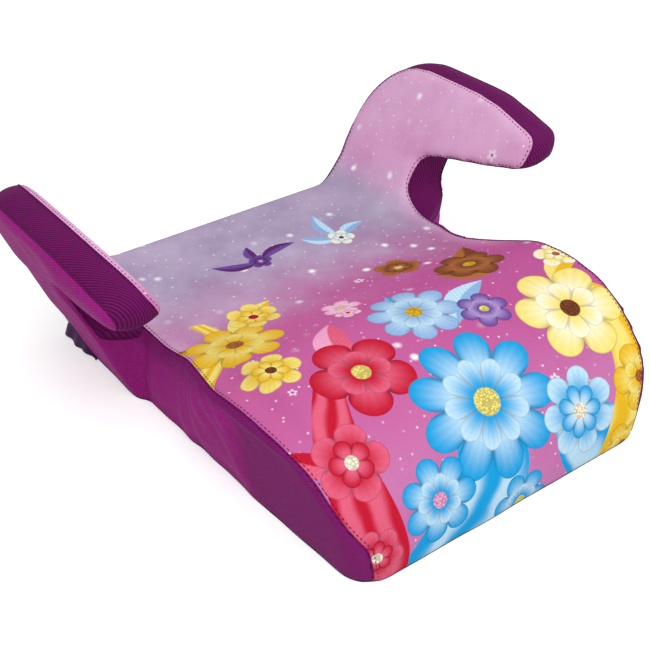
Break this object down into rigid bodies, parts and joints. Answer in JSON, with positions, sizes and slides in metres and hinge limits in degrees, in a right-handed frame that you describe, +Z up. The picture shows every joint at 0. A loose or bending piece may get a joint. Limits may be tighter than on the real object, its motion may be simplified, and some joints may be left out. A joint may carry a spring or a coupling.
{
  "type": "booster seat",
  "caption": "Low child booster seat with hooked arm rests that guide the lap belt, a raised rounded front, and a printed and plain sewn cover over a ribbed moulded shell.",
  "frame": {"origin": "on the surface the seat stands on, under the middle of its length and width", "axes": "+Z up; the front of the seat faces -Y; +X is to the right of someone facing the front"},
  "size_m": [0.4114, 0.3664, 0.164],
  "materials": {
    "printed_fabric": "printed polyester tricot, matt with a slight sheen",
    "side_fabric": "plain dyed polyester tricot",
    "gusset_mesh": "dyed open rib knit",
    "lining": "smooth satin lining with an overlocked edge",
    "elastic": "woven elastic",
    "foam": "open-cell polyurethane foam",
    "shell_plastic": "injection-moulded polypropylene with a fine texture",
    "hook_plastic": "moulded nylon",
    "screw_steel": "zinc-plated steel"
  },
  "bodies": {
    "root": {"cover_seat_panel": "printed_fabric", "cover_side_left": "side_fabric", "cover_side_right": "side_fabric", "arm_gusset_left": "gusset_mesh", "arm_gusset_right": "gusset_mesh", "cover_rear_panel": "side_fabric", "hem_lining": "lining", "hem_loose_end": "lining", "hem_elastic": "elastic", "hook_loops": "elastic", "cover_hooks": "hook_plastic", "seat_foam": "foam", "arm_foam_left": "foam", "arm_foam_right": "foam", "seat_shell": "shell_plastic", "arm_cap_left": "shell_plastic", "arm_cap_right": "shell_plastic", "arm_cap_screws": "screw_steel"}
  },
  "joints": []
}
